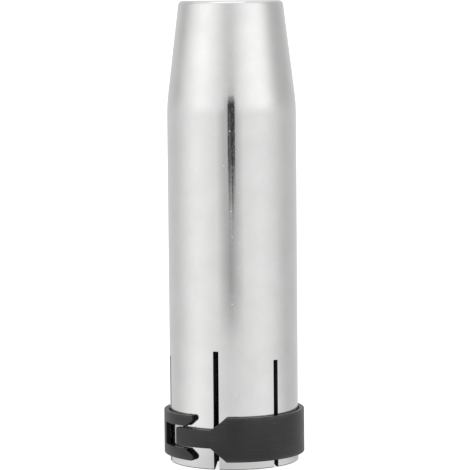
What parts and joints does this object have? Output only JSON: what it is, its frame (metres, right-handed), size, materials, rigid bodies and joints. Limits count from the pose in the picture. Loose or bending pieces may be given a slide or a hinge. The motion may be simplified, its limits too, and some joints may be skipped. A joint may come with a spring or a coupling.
{
  "type": "welding torch gas nozzle",
  "caption": "Push-on gas nozzle for a MIG torch: tapered plated tube with a slotted rear end, an insulating sleeve inside it and a split clamp ring around it.",
  "frame": {"origin": "centre of the slotted rear end, on which the nozzle stands", "axes": "+Z along the bore from the rear end to the mouth; -Y is the side between the first long slot and the first short slot, with the ring's clasp turned towards -X"},
  "size_m": [0.0262, 0.0262, 0.0859],
  "materials": {
    "plating": "satin bright plating over drawn copper",
    "insulation": "matte dark glass-filled insulation",
    "black_ring": "satin black finish on spring strip"
  },
  "bodies": {
    "nozzle": {"nozzle_body": "plating", "insulating_sleeve": "insulation"},
    "ring": {"clamp_ring": "black_ring"}
  },
  "joints": [
    {"name": "ring_slide", "type": "slide", "parent": "nozzle", "child": "ring", "axis": [0, 0, 1], "range_m": [0, 0.088]}
  ]
}
